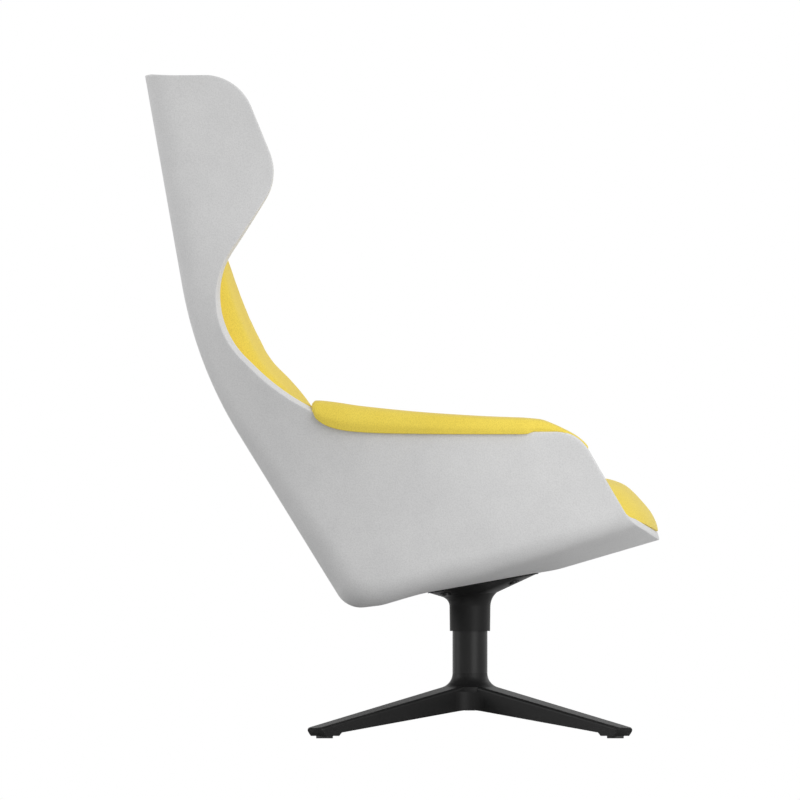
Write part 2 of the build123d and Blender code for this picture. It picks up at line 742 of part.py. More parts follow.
def core_screw_planes():
    planes = []
    for y in CORE_SCREW_YS:
        points = []
        for z in (ARM_FRONT[1] + CORE_SCREW_HEAD, ARM_FRONT[1] - CORE_SCREW_LENGTH):
            section, depth = section_through(y, z)
            points.append(Vector(section.side(depth, SHELL_THICKNESS / 2)[0], y, z))
        planes.append(Plane(points[0], x_dir=(0, 1, 0), z_dir=points[1] - points[0]))
    return planes


# Assembly
pan = tub_space(WALL_GAP, WALL_GAP)
shell = tub_wall(0, SHELL_THICKNESS) & across(rim_face(0), REGION_HALF)
shell -= lip_waste()
shell -= mount_plane * extrude(flange_outline(-FLANGE_EDGE), -FLANGE_CORNER)
shell = clearance_holes(shell, MOUNT_SCREW_RADIUS + BOLT_GAP)

shell_room = tub_wall(-REST_GAP, WALL_GAP) & across(rim_face(-REST_GAP), REGION_HALF)
back_room = back_cushion(SEAM_GAP)
lining_room = pan & across(rim_face(LINING_SETBACK), REGION_HALF)
left_pad = arm_pad(0) - shell_room - core_strip(REST_GAP)
left_arm = side_lining(LINING_SEAM + SEAM_GAP / spine.length, ARM_END) & lining_room
left_arm = left_arm - arm_pad(REST_GAP) - back_room
left_wing = (side_lining(0, LINING_SEAM) & lining_room) - back_room

left_core = core_strip(0)
left_screws = []
for plane in core_screw_planes():
    shank = plane * disc(CORE_SCREW_RADIUS + PRESS_GAP, 0, CORE_SCREW_LENGTH)
    recess = plane * disc(CORE_SCREW_HEAD_RADIUS + BOLT_GAP, -3 * CORE_SCREW_HEAD, 3 * CORE_SCREW_HEAD)
    left_core = left_core - shank - recess
    shell = shell - shank - mirror(shank, Plane.YZ)
    length = CORE_SCREW_LENGTH - 1
    body = screw(CORE_SCREW_RADIUS, CORE_SCREW_HEAD_RADIUS, CORE_SCREW_HEAD, length, KEY_SHARE)
    left_screws.append(plane * body)

board = board_block(0, BOARD_TOP) & pan
board = clearance_holes(board, TEE_NUT_BARREL_RADIUS + PRESS_GAP)
for place in screw_places:
    board -= place * disc(TEE_NUT_RADIUS + PRESS_GAP, BOARD_TOP - TEE_NUT_FLANGE, BOARD_TOP)
seat_room = tub_space(WALL_GAP, WALL_GAP + ARM_LINING + LINING_CROWN + CUSHION_SIDE_GAP)
cushion = seat_pillow() & seat_room
cushion -= board_block(SEAM_GAP, BOARD_TOP + REST_GAP)
back_end = Section(BACK_END)
behind = Box(REGION_HALF * 2, REGION_HALF, REGION_HALF, align=(Align.CENTER, Align.CENTER, Align.MAX))
cushion -= back_end.plane * Pos(0, 0, SEAM_GAP) * behind


def both(piece):
    return piece, mirror(piece, Plane.YZ)


left_pieces = {
    "wing_lining": left_wing,
    "arm_lining": left_arm,
    "arm_pad": left_pad,
    "arm_core": left_core,
}
pieces = {
    "star_base": star_base(),
    "foot_glides": foot_glides(),
    "column_tube": ring(COLUMN_RADIUS, TUBE_INSIDE, HUB_TOP, COLUMN_TOP - HUB_TOP),
    "column_plug": column_plug(),
    "column_bolt": column_bolt(),
    "column_washer": ring(
        BOLT_WASHER_RADIUS, BOLT_RADIUS + BOLT_GAP, HUB_WEB_UNDER - BOLT_WASHER, BOLT_WASHER
    ),
    "lower_bush": bush(LOWER_BUSH_BOTTOM),
    "upper_bush": bush(COLUMN_TOP - BUSH_LENGTH)
    + ring(BUSH_FLANGE_RADIUS, SPINDLE_RADIUS + RUN_GAP, COLUMN_TOP, BUSH_FLANGE),
    "thrust_washer": ring(BUSH_FLANGE_RADIUS, SPINDLE_RADIUS + RUN_GAP, FLANGE_TOP, THRUST_WASHER),
    "swivel_mount": swivel_mount(),
    "swivel_spindle": spindle(),
    "spindle_screw": spindle_screw(),
    "spindle_circlip": circlip(),
    "retaining_washer": ring(RETAINER_RADIUS, SPINDLE_RADIUS + RUN_GAP, RETAINER_BOTTOM, RETAINER),
    "mount_screws": Compound([place * mount_screw() for place in screw_places]),
    "mount_washers": Compound([place * mount_washer() for place in screw_places]),
    "tee_nuts": Compound([place * tee_nut() for place in screw_places]),
    "outer_shell": shell,
    "seat_board": board,
    "seat_cushion": cushion,
    "back_cushion": back_cushion(0) & pan,
    "arm_screws": Compound([*left_screws, *(mirror(body, Plane.YZ) for body in left_screws)]),
}
for name, piece in left_pieces.items():
    pieces[name + "_left"], pieces[name + "_right"] = both(piece)

# The row's frame has its origin on the floor in the middle of the chair's depth
DATUM = Pos(0, -(HEAD_TOP[0] + FRONT_LIP[0]) / 2, 0)
os.makedirs("parts", exist_ok=True)
for name, piece in pieces.items():
    export_step(DATUM * piece, f"parts/{name}.step")
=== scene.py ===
import json
from math import atan2, cos, pi, radians, sin, tan

import bmesh
import bpy
import numpy as np
from mathutils.kdtree import KDTree
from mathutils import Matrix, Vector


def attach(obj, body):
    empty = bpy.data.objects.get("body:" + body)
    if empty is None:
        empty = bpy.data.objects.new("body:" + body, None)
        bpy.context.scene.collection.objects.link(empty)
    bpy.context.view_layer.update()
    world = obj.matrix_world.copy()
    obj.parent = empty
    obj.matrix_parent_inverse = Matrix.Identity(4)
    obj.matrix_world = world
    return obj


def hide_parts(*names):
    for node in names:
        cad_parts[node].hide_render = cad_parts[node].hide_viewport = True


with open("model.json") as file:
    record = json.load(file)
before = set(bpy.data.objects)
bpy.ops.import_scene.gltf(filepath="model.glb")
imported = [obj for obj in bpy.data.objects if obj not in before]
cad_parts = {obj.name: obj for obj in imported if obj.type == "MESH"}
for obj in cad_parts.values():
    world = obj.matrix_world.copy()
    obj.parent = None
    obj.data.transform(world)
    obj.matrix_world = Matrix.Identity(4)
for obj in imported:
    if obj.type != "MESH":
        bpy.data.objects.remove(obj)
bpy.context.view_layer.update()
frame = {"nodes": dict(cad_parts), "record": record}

# Lengths are millimetres in the chair's own frame: swivel axis at y = 0, floor at z = 0, front towards -y.
# Finished meshes are metres in the row's frame, where the swivel axis stands at AXIS_Y.
AXIS_Y = frame["record"]["behaviour"]["joints"][0]["pos_m"][1]

# Outer line of the shell in side view, (y, z), from the head to the front lip
HEAD_TOP = (539, 1100)
FRONT_LIP = (-313, 329)
SPINE_CORNERS = (HEAD_TOP, (454, 619), (204, 214), (146, 221), (80, 240), (-146, 280), FRONT_LIP)
SPINE_RADII = (700, 45, 100, 250, 200)
TRIM_ALLOWANCE = 25

# Cross sections: place on the outer line, lean of the section, half width, splay of the sides,
# corner radius, rise of the floor's edges
SECTION_KEYS = (
    (0.00, 0, 262, 4, 46, 0),
    (0.16, 3, 262, 5, 46, 0),
    (0.23, 7, 250, 24, 48, 0),
    (0.29, 15, 239, 42, 50, 0),
    (0.34, 24, 238, 42, 53, 0),
    (0.41, 39, 243, 37, 58, 0),
    (0.50, 51, 256, 26, 64, 0),
    (0.61, 62, 270, 16, 70, 0),
    (0.72, 66, 279, 14, 64, 2),
    (0.86, 82, 282, 13, 34, 34),
    (0.93, 86, 264, 19, 25, 39),
    (1.00, 90, 230, 24, 22, 39),
)
FLOOR_RISE_CURVE = 2.5
SHELL_THICKNESS = 14
WIDEST_ACROSS = 900

# Rim of the shell in side view, (y, z), and where its front lip begins
RIM_CORNERS = (
    (639, 1100),
    (385, 1100),
    (315, 930),
    (463, 711),
    (255, 508),
    (-178, 508),
    (-266, 361),
    (-360, 301),
)
RIM_RADII = (85, 84, 141, 360, 64, 60)
RIM_POINTS = 1600
LIP_START = -282
LIP_ZONE = (0.88, 0.99)
HEAD_ZONE = 0.2
HEAD_TRIM = 0.8
EDGE_ROUND = 2
EDGE_STEPS = 10
EDGE_REACH_CURVE = 0.6
EDGE_HEIGHT_CURVE = 0.7

# Density of the shell's grid
ROW_LENGTH = 9
ROW_TURN = radians(5)
WING_ROWS = 20
LIP_ROWS = 12
LIP_RUN_IN = 26
LIP_RUN_IN_ROWS = 12
LIP_RUN_IN_CURVE = 1.3
HALF_COLUMNS = 56

# Linings: place on the outer line, thickness; thin at the waist, where the back cushion reaches the rim
PAD_GAP = 0.5
SHELL_INSIDE = SHELL_THICKNESS + PAD_GAP
HEAD_GAP = 3
LINING_KEYS = (
    (0.00, 18),
    (0.17, 18),
    (0.30, 4),
    (0.36, 4),
    (0.50, 24),
    (0.80, 24),
    (0.93, 12),
)
LINING_SEAM = 0.315
LINING_END = 0.93
LINING_SETBACK = 1.5
LINING_SEAM_ROUND = 2
LINING_FRONT_ROUND = 16
LINING_FOOT_ROUND = 7
LINING_TOP_ROUND = 11
LINING_FOOT = 4
LINING_LEAST_WIDTH = 8
LINING_STEEPEST = 0.75
LINING_CROWN = 4
CROWN_FROM_WIDTH = 60
CROWN_FADE = 120
LINING_COLUMNS = 33
LINING_UNDER_PAD = 1.5

# Back cushion: place on the outer line, depth of its front
BACK_END = 0.615
BACK_END_GAP = 1.5
BACK_SIDE_GAP = 1.5
BACK_SHOULDER = 60
BACK_SHOULDER_RISE = 0.86
BACK_EDGE_SHARE = 0.75
BACK_WRAP = 2
BACK_END_ROUND = 22
BACK_END_RUN = 26
BACK_END_ROWS = 9
BACK_ROW_GAP = 0.003
BACK_COLUMNS = 61
BACK_KEYS = (
    (0.00, 42),
    (0.04, 56),
    (0.15, 62),
    (0.26, 84),
    (0.33, 95),
    (0.37, 101),
    (0.41, 116),
    (0.45, 126),
    (0.50, 129),
    (0.62, 121),
)

# Seat cushion in the mount plane; rows of height, side inset, front inset and, underneath, rear inset
MOUNT_REAR = (80, 240)
MOUNT_FRONT = (-146, 280)
CUSHION_FRONT = -323
CUSHION_HALF_WIDTH = 272
CUSHION_NOSE = 150
CUSHION_SQUARENESS = 3
LIP_OVERHANG = 3
CUSHION_REAR_CORNER = 30
CUSHION_REAR_GAP = 1.5
REAR_SHARE = 0.55
CUSHION_ROWS = (
    (14, 14, 5),
    (24, 5, 1.5),
    (39, 0, 0),
    (51, 0, 1.5),
    (68, 0, 7),
    (90, 3, 19.5),
    (111, 9, 34),
    (122, 15, 45.5),
    (135, 30, 71),
    (146, 66, 114),
)
CUSHION_UNDERSIDE = (
    (30, 66, 91, 60),
    (14, 44, 45, 40),
)
CUSHION_WALL_TOP = 119
CUSHION_WALL_ROWS = 24
CUSHION_SHOULDER = 122
CUSHION_SHOULDER_ROWS = 14
CUSHION_CROWN = 3
CUSHION_CROWN_RINGS = 24
CUSHION_UNDER_RINGS = 8
CUSHION_COLUMNS = 220
CUSHION_LEAST_ROUND = 12
SEAT_SIDE_INSET = 46

# Cloth filling: pressure, frames, longest movement, and widths that fade from held to loose
FILL_PRESSURE = 4
FILL_FRAMES = 20
FILL_REACH = 6
FILL_MARGIN = 45
SEAM_INSET = 12
CUSHION_SEAM = 36
NOSE_HELD = 60
GRID_MATCH = 0.2

# Arm pads: place along y, top, bottom, overhang past the shell
PAD_KEYS = (
    (262, 556, 539, 3),
    (256, 560, 527, 6),
    (228, 558, 514, 8),
    (180, 551, 507, 8),
    (80, 541, 504.5, 8),
    (-20, 534.5, 504, 8),
    (-70, 532.5, 504, 8),
    (-86, 532, 504, 8),
    (-99, 531, 504, 5.5),
    (-105, 530.5, 504, 0),
    (-120, 528.5, 503, -2),
    (-140, 521, 499, -3),
    (-157, 513, 494, -3),
    (-172, 505, 487, -3),
    (-186, 495, 479, -3),
    (-196, 485, 472, -4),
)
ARM_FROM = 0.4
ARM_LIP_GAP = 0.002
PAD_REACH = 47
PAD_END = 7
PAD_END_SHARE = 0.7
PAD_END_ROWS = 8
PAD_ROWS = 90
PAD_SKIN_POINTS = 68
PAD_LIP = 9


# Paths and smooth values
def unit(vectors):
    return vectors / np.maximum(np.linalg.norm(vectors, axis=-1, keepdims=True), 1e-9)


def run_length(points):
    steps = np.linalg.norm(np.diff(points, axis=0), axis=1)
    return np.concatenate([[0], np.cumsum(steps)])


def evenly(points, count):
    run = run_length(points)
    stops = np.linspace(0, run[-1], count)
    return np.stack([np.interp(stops, run, column) for column in np.transpose(points)], axis=1)


def rounded_path(corners, radii, arc_steps=24):
    corners = np.array(corners, float)
    points = [corners[0]]
    for before, corner, after, radius in zip(corners, corners[1:], corners[2:], radii):
        back, ahead = unit(before - corner), unit(after - corner)
        half = np.arccos(np.clip(back @ ahead, -1, 1)) / 2
        start = corner + back * radius / tan(half)
        centre = corner + unit(back + ahead) * radius / sin(half)
        first = atan2(start[1] - centre[1], start[0] - centre[0])
        sweep = (pi - 2 * half) * np.sign(back[1] * ahead[0] - back[0] * ahead[1])
        for angle in first + sweep * np.linspace(0, 1, arc_steps):
            points.append(centre + radius * np.array((cos(angle), sin(angle))))
    return np.array(points + [corners[-1]])


def eased(keys, place):
    keys = np.array(sorted(keys), float)
    places, values = keys[:, 0], keys[:, 1:]
    slopes = np.empty_like(values)
    slopes[1:-1] = (values[2:] - values[:-2]) / (places[2:] - places[:-2])[:, None]
    slopes[0] = (values[1] - values[0]) / (places[1] - places[0])
    slopes[-1] = (values[-1] - values[-2]) / (places[-1] - places[-2])
    place = np.clip(np.asarray(place, float), places[0], places[-1])
    span = np.clip(np.searchsorted(places, place, side="right") - 1, 0, len(places) - 2)
    width = (places[span + 1] - places[span])[..., None]
    share = (place - places[span])[..., None] / width
    start, rise = values[span], values[span + 1] - values[span]
    turn_a, turn_b = slopes[span] * width, slopes[span + 1] * width
    bend = (turn_a + turn_b - 2 * rise) * share + 3 * rise - 2 * turn_a - turn_b
    return np.moveaxis(start + share * (turn_a + share * bend), -1, 0)


def rounding(distance, reach):
    return np.sqrt(1 - (1 - np.clip(distance / reach, 0, 1)) ** 2)


# The shell's outer surface: place along the outer line, and length across from the middle
def beyond(corner, other):
    corner, other = np.array(corner, float), np.array(other, float)
    return corner + unit(corner - other) * TRIM_ALLOWANCE


SPINE_ENDS = (beyond(SPINE_CORNERS[0], SPINE_CORNERS[1]), beyond(SPINE_CORNERS[-1], SPINE_CORNERS[-2]))
SPINE = rounded_path((SPINE_ENDS[0], *SPINE_CORNERS[1:-1], SPINE_ENDS[1]), SPINE_RADII)
SPINE_RUN = run_length(SPINE)
SPINE_LENGTH = SPINE_RUN[-1]


def spine_at(place):
    return [np.interp(np.asarray(place) * SPINE_LENGTH, SPINE_RUN, SPINE[:, axis]) for axis in (0, 1)]


class Section:
    """Planes across the chair at the given places, with the shell's outer line in them."""

    def __init__(self, place):
        self.y, self.z = spine_at(place)
        lean, self.half, splay, self.radius, self.rise = eased(SECTION_KEYS, place)
        self.lean, self.splay = np.radians(lean), np.radians(splay)
        self.turn = pi / 2 - self.splay
        self.corner = self.half + self.rise * np.tan(self.splay)
        self.flat = self.corner - self.radius * np.tan(self.turn / 2)
        self.bend_end = self.flat + self.radius * self.turn
        self.bend_depth = self.radius * (1 - np.cos(self.turn))

    def point(self, x, depth):
        y, z = self.y - depth * np.cos(self.lean), self.z + depth * np.sin(self.lean)
        return np.stack([x, y, z], axis=-1)

    def outer(self, across):
        length = np.abs(across)
        bend = np.clip((length - self.flat) / self.radius, 0, self.turn)
        rest = np.maximum(length - self.bend_end, 0)
        x = np.minimum(length, self.flat) + self.radius * np.sin(bend) + rest * np.sin(self.splay)
        depth = self.radius * (1 - np.cos(bend)) + rest * np.cos(self.splay)
        return self.point(np.sign(across) * x, depth + self.risen(x))

    def risen(self, x):
        return self.rise * np.clip(x / self.corner, 0, 1) ** FLOOR_RISE_CURVE

    def side_x(self, depth, inset):
        return self.half + depth * np.tan(self.splay) - inset / np.cos(self.splay)

    def depth_at(self, across):
        point = self.outer(across)
        return (self.y - point[..., 1]) * np.cos(self.lean) + (point[..., 2] - self.z) * np.sin(self.lean)

    def across_at(self, depth):
        low, high = 0.0, WIDEST_ACROSS
        for _ in range(45):
            middle = (low + high) / 2
            low, high = (middle, high) if self.depth_at(middle) < depth else (low, middle)
        return low


def tub(place, across):
    return Section(place).outer(across)


# Points at a height above the shell's outer surface, towards the sitter
def inward(place, across):
    step, stride = 0.002, 2.0
    along = tub(place + step, across) - tub(place - step, across)
    over = tub(place, across + stride) - tub(place, across - stride)
    return unit(np.cross(along, over))


def lifted(place, across, height):
    return tub(place, across) + inward(place, across) * np.asarray(height)[..., None]


# Rim line, drawn in by the edge's rounding
RIM = evenly(rounded_path(RIM_CORNERS, RIM_RADII), RIM_POINTS)
RIM_WAY = unit(np.gradient(RIM, axis=0))
RIM_INNER = RIM + EDGE_ROUND * np.stack([-RIM_WAY[:, 1], RIM_WAY[:, 0]], axis=1)
LIP_WAY = RIM_WAY[-1]


def rim_across(place):
    section = Section(place)
    way = np.array((-np.cos(section.lean), np.sin(section.lean)))
    from_line = RIM_INNER - (section.y, section.z)
    side = way[0] * from_line[:, 1] - way[1] * from_line[:, 0]
    hits = np.nonzero(side[:-1] * side[1:] <= 0)[0]
    share = side[hits] / (side[hits] - side[hits + 1] + 1e-12)
    depths = (from_line[hits] + share[:, None] * (from_line[hits + 1] - from_line[hits])) @ way
    return float(section.across_at(np.min(depths[depths > 1])))


def past_lip(points):
    from_end = points[..., 1:] - RIM_INNER[-1]
    return from_end[..., 0] * LIP_WAY[1] - from_end[..., 1] * LIP_WAY[0]


def first_place(height):
    places = np.linspace(0, HEAD_ZONE, 2001)
    return places[np.argmax(spine_at(places)[1] < height)]


def lip_place():
    low, high = LIP_ZONE
    for _ in range(30):
        middle = (low + high) / 2
        reached = tub(np.array(middle), np.array(rim_across(middle)))[1] < LIP_START
        low, high = (low, middle) if reached else (middle, high)
    return low


TOP_PLACE = first_place(HEAD_TOP[1] - EDGE_ROUND - HEAD_TRIM)
LIP_PLACE = lip_place()
PADDING_TOP = TOP_PLACE + HEAD_GAP / SPINE_LENGTH


def row_places():
    fine = np.linspace(TOP_PLACE, LIP_PLACE, 4000)
    y, z = spine_at(fine)
    turn = np.abs(np.gradient(np.unwrap(np.arctan2(np.gradient(z), np.gradient(y)))))
    weight = np.gradient(fine) * SPINE_LENGTH / ROW_LENGTH + turn / ROW_TURN
    count = np.concatenate([[0], np.cumsum(weight)[1:]])
    even_rows = np.interp(np.arange(0, count[-1], 1), count, fine)
    turn_in = np.linspace(0, pi / 2, WING_ROWS, endpoint=False)
    wing_rows = TOP_PLACE + RIM_RADII[0] * (1 - np.cos(turn_in)) / SPINE_LENGTH
    run_in = LIP_PLACE - np.linspace(1, 0, LIP_RUN_IN_ROWS) ** LIP_RUN_IN_CURVE * LIP_RUN_IN / SPINE_LENGTH
    rest = even_rows[even_rows > wing_rows[-1] + 0.5 * ROW_LENGTH / SPINE_LENGTH]
    rest = rest[rest < run_in[0] - 0.3 * ROW_LENGTH / SPINE_LENGTH]
    return np.concatenate([wing_rows, rest, run_in])


ROWS = row_places()
RIM_ACROSS = np.array([rim_across(place) for place in ROWS])


# Meshes and pieces
def metres(points):
    return np.asarray(points, float).reshape(-1, 3) * 0.001 + (0, AXIS_Y, 0)


def mesh_piece(name, points, faces, material, merge=0.00005):
    mesh = bpy.data.meshes.new(name)
    mesh.from_pydata(metres(points).tolist(), [], [list(map(int, face)) for face in faces])
    build = bmesh.new()
    build.from_mesh(mesh)
    bmesh.ops.remove_doubles(build, verts=build.verts, dist=merge)
    bmesh.ops.dissolve_degenerate(build, edges=build.edges, dist=merge / 2)
    bmesh.ops.recalc_face_normals(build, faces=build.faces)
    build.to_mesh(mesh)
    build.free()
    mesh.polygons.foreach_set("use_smooth", [True] * len(mesh.polygons))
    piece = bpy.data.objects.new(name, mesh)
    bpy.context.scene.collection.objects.link(piece)
    mesh.materials.append(material)
    return piece


def grid_faces(rows, columns, start=0, wrap=False):
    faces = []
    for row in range(rows - 1):
        for column in range(columns if wrap else columns - 1):
            a, b = row * columns + column, row * columns + (column + 1) % columns
            faces.append((start + a, start + b, start + b + columns, start + a + columns))
    return faces


def rings_piece(name, rings, material):
    rings = np.asarray(rings, float)
    rows, columns = rings.shape[:2]
    points = np.concatenate([rings.reshape(-1, 3), [rings[0].mean(axis=0), rings[-1].mean(axis=0)]])
    faces = grid_faces(rows, columns, wrap=True)
    for column in range(columns):
        after = (column + 1) % columns
        faces.append((after, column, rows * columns))
        last = (rows - 1) * columns
        faces.append((last + column, last + after, rows * columns + 1))
    return mesh_piece(name, points, faces, material)


def mirrored(points):
    return np.asarray(points) * (-1, 1, 1)


def finish_soft(piece, node):
    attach(piece, "seat")
    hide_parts(node)


# Filling of the loose cushions by cloth simulation; held points stay, the others move a short way at most
def piece_points(mesh):
    points = np.empty(3 * len(mesh.vertices))
    mesh.vertices.foreach_get("co", points)
    return (points.reshape(-1, 3) - (0, AXIS_Y, 0)) * 1000


def filled(piece, grid, loose, laid):
    start = piece_points(piece.data)
    grid, loose = grid.reshape(-1, 3), loose.ravel()
    nearest = KDTree(len(grid))
    for index, point in enumerate(grid):
        nearest.insert(point, index)
    nearest.balance()
    group = piece.vertex_groups.new(name="held")
    for number, point in enumerate(start):
        _, index, distance = nearest.find(point)
        group.add([number], 1 - loose[index] if distance < GRID_MATCH else 1.0, "REPLACE")
    cloth = piece.modifiers.new("filling", "CLOTH")
    cloth.settings.vertex_group_mass = group.name
    cloth.settings.use_pressure = True
    cloth.settings.uniform_pressure_force = FILL_PRESSURE
    cloth.settings.effector_weights.gravity = 0
    cloth.collision_settings.use_collision = False
    cloth.point_cache.frame_end = FILL_FRAMES
    scene = bpy.context.scene
    for number in range(1, FILL_FRAMES + 1):
        scene.frame_set(number)
    moved = piece_points(piece.evaluated_get(bpy.context.evaluated_depsgraph_get()).data)
    piece.modifiers.remove(cloth)
    piece.vertex_groups.remove(group)
    scene.frame_set(1)
    step = moved - start
    length = np.maximum(np.linalg.norm(step, axis=1, keepdims=True), 1e-6)
    points = laid(start + step * FILL_REACH * np.tanh(length / FILL_REACH) / length)
    piece.data.vertices.foreach_set("co", metres(points).ravel())
    piece.data.update()


def fading(distance):
    share = np.clip(distance / FILL_MARGIN, 0, 1)
    return share * share * (3 - 2 * share)


def smoothed(piece):
    modifier = piece.modifiers.new("smooth_cover", "SUBSURF")
    modifier.levels = modifier.render_levels = 1


# Materials
class Finish:
    """One procedural material and short ways to add nodes to it."""

    def __init__(self, name):
        self.material = bpy.data.materials.new(name)
        self.material.use_nodes = True
        self.nodes = self.material.node_tree.nodes
        self.links = self.material.node_tree.links
        self.shader = self.nodes["Principled BSDF"]
        self.object_space = self.nodes.new("ShaderNodeTexCoord").outputs["Object"]

    def link(self, source, target):
        self.links.new(source, target)

    def node(self, kind, **settings):
        node = self.nodes.new(kind)
        for name, value in settings.items():
            setattr(node, name, value)
        return node

    def stretched(self, scale):
        mapping = self.node("ShaderNodeMapping")
        mapping.inputs["Scale"].default_value = scale
        self.link(self.object_space, mapping.inputs["Vector"])
        return mapping.outputs["Vector"]

    def noise(self, scale, detail=3.0, roughness=0.55, vector=None):
        noise = self.node("ShaderNodeTexNoise")
        noise.inputs["Scale"].default_value = scale
        noise.inputs["Detail"].default_value = detail
        noise.inputs["Roughness"].default_value = roughness
        self.link(vector or self.object_space, noise.inputs["Vector"])
        return noise.outputs["Fac"]

    def ramp(self, value, stops):
        ramp = self.node("ShaderNodeValToRGB")
        elements = ramp.color_ramp.elements
        while len(elements) < len(stops):
            elements.new(0.5)
        for element, (position, colour) in zip(elements, stops):
            element.position = position
            element.color = (*colour, 1)
        self.link(value, ramp.inputs["Fac"])
        return ramp.outputs["Color"]

    def product(self, first, second):
        mix = self.node("ShaderNodeMix", data_type="RGBA", blend_type="MULTIPLY")
        mix.inputs[0].default_value = 1.0
        self.link(first, mix.inputs[6])
        self.link(second, mix.inputs[7])
        return mix.outputs[2]

    def math(self, operation, first, second=0.0):
        node = self.node("ShaderNodeMath", operation=operation)
        for socket, value in zip(node.inputs, (first, second)):
            if isinstance(value, (int, float)):
                socket.default_value = value
            else:
                self.link(value, socket)
        return node.outputs[0]

    def between(self, value, low, high):
        span = self.node("ShaderNodeMapRange")
        span.inputs["To Min"].default_value = low
        span.inputs["To Max"].default_value = high
        self.link(value, span.inputs["Value"])
        return span.outputs["Result"]

    def bump(self, height, strength, distance, after=None):
        bump = self.node("ShaderNodeBump")
        bump.inputs["Strength"].default_value = strength
        bump.inputs["Distance"].default_value = distance
        self.link(height, bump.inputs["Height"])
        if after is not None:
            self.link(after, bump.inputs["Normal"])
        return bump.outputs["Normal"]

    def set(self, **values):
        for name, value in values.items():
            socket = self.shader.inputs[name.replace("_", " ")]
            if isinstance(value, bpy.types.NodeSocket):
                self.link(value, socket)
            else:
                socket.default_value = value
        return self.material


def grey_felt():
    felt = Finish("grey_felt")
    clouds = felt.noise(14, detail=4, roughness=0.6)
    flecks = felt.noise(420, detail=3, roughness=0.65)
    fibres = felt.noise(900, detail=2, vector=felt.stretched((1, 0.35, 0.5)))
    tone = felt.ramp(clouds, ((0.30, (0.755, 0.755, 0.757)), (0.70, (0.805, 0.805, 0.805))))
    fleck = felt.ramp(flecks, ((0.33, (0.90, 0.90, 0.90)), (0.60, (1.0, 1.0, 1.0))))
    colour = felt.product(tone, fleck)
    rough = felt.between(clouds, 0.82, 0.95)
    nap = felt.bump(fibres, 0.25, 0.0006)
    nap = felt.bump(flecks, 0.20, 0.0010, nap)
    return felt.set(Base_Color=colour, Roughness=rough, Normal=nap, Sheen_Weight=0.12, Sheen_Roughness=0.5)


def yellow_wool():
    wool = Finish("yellow_wool")
    clouds = wool.noise(10, detail=3)
    flecks = wool.noise(520, detail=2, roughness=0.6)
    warp = wool.noise(760, detail=2, vector=wool.stretched((1.0, 0.3, 0.9)))
    tone = wool.ramp(clouds, ((0.30, (0.92, 0.712, 0.088)), (0.70, (0.965, 0.762, 0.108))))
    fleck = wool.ramp(flecks, ((0.35, (0.86, 0.85, 0.80)), (0.62, (1.0, 1.0, 1.0))))
    colour = wool.product(tone, fleck)
    rough = wool.between(clouds, 0.80, 0.92)
    nap = wool.bump(warp, 0.28, 0.0006)
    nap = wool.bump(flecks, 0.20, 0.0008, nap)
    return wool.set(Base_Color=colour, Roughness=rough, Normal=nap, Sheen_Weight=0.15, Sheen_Roughness=0.45)


def black_coat(name, shade, rough, shine):
    coat = Finish(name)
    clouds = coat.noise(9, detail=3)
    grain = coat.noise(700, detail=2)
    low, high = tuple(0.85 * shade for _ in range(3)), tuple(1.15 * shade for _ in range(3))
    colour = coat.ramp(clouds, ((0.3, low), (0.7, high)))
    wear = coat.math("ADD", clouds, coat.math("MULTIPLY", grain, 0.5))
    gloss = coat.between(wear, rough - 0.05, rough + 0.05)
    skin = coat.bump(grain, 0.10, 0.0004)
    return coat.set(Base_Color=colour, Roughness=gloss, Normal=skin, Specular_IOR_Level=shine)


def plated_steel():
    steel = Finish("plated_steel")
    grain = steel.noise(260, detail=2)
    colour = steel.ramp(grain, ((0.3, (0.42, 0.42, 0.43)), (0.7, (0.55, 0.55, 0.55))))
    return steel.set(Base_Color=colour, Roughness=steel.between(grain, 0.28, 0.42), Metallic=1.0)


def moulded_plastic(name, shade):
    plastic = Finish(name)
    grain = plastic.noise(900, detail=2)
    low, high = (tuple(share * value for value in shade) for share in (0.9, 1.1))
    colour = plastic.ramp(plastic.noise(40), ((0.3, low), (0.7, high)))
    skin = plastic.bump(grain, 0.15, 0.0003)
    return plastic.set(Base_Color=colour, Roughness=plastic.between(grain, 0.45, 0.6), Normal=skin)


def birch_ply():
    ply = Finish("birch_ply")
    rings = ply.noise(30, detail=4, vector=ply.stretched((1, 8, 20)))
    colour = ply.ramp(rings, ((0.3, (0.42, 0.29, 0.16)), (0.7, (0.66, 0.50, 0.31))))
    return ply.set(Base_Color=colour, Roughness=0.7, Normal=ply.bump(rings, 0.1, 0.0005))


felt = grey_felt()
wool = yellow_wool()
slot_finish = {
    "cast_black": black_coat("cast_black_coat", 0.012, 0.42, 0.155),
    "tube_black": black_coat("tube_black_coat", 0.012, 0.34, 0.22),
    "black_steel": black_coat("black_steel", 0.012, 0.30, 0.25),
    "steel": plated_steel(),
    "glide_plastic": moulded_plastic("glide_plastic", (0.02, 0.02, 0.02)),
    "bearing_plastic": moulded_plastic("bearing_plastic", (0.70, 0.68, 0.60)),
    "plywood": birch_ply(),
    "shell_cloth": felt,
    "yellow_cloth": wool,
}
for part in frame["record"]["subparts"]:
    node = frame["nodes"][part["node"]]
    node.data.materials.clear()
    node.data.materials.append(slot_finish[part["material_slot"]])


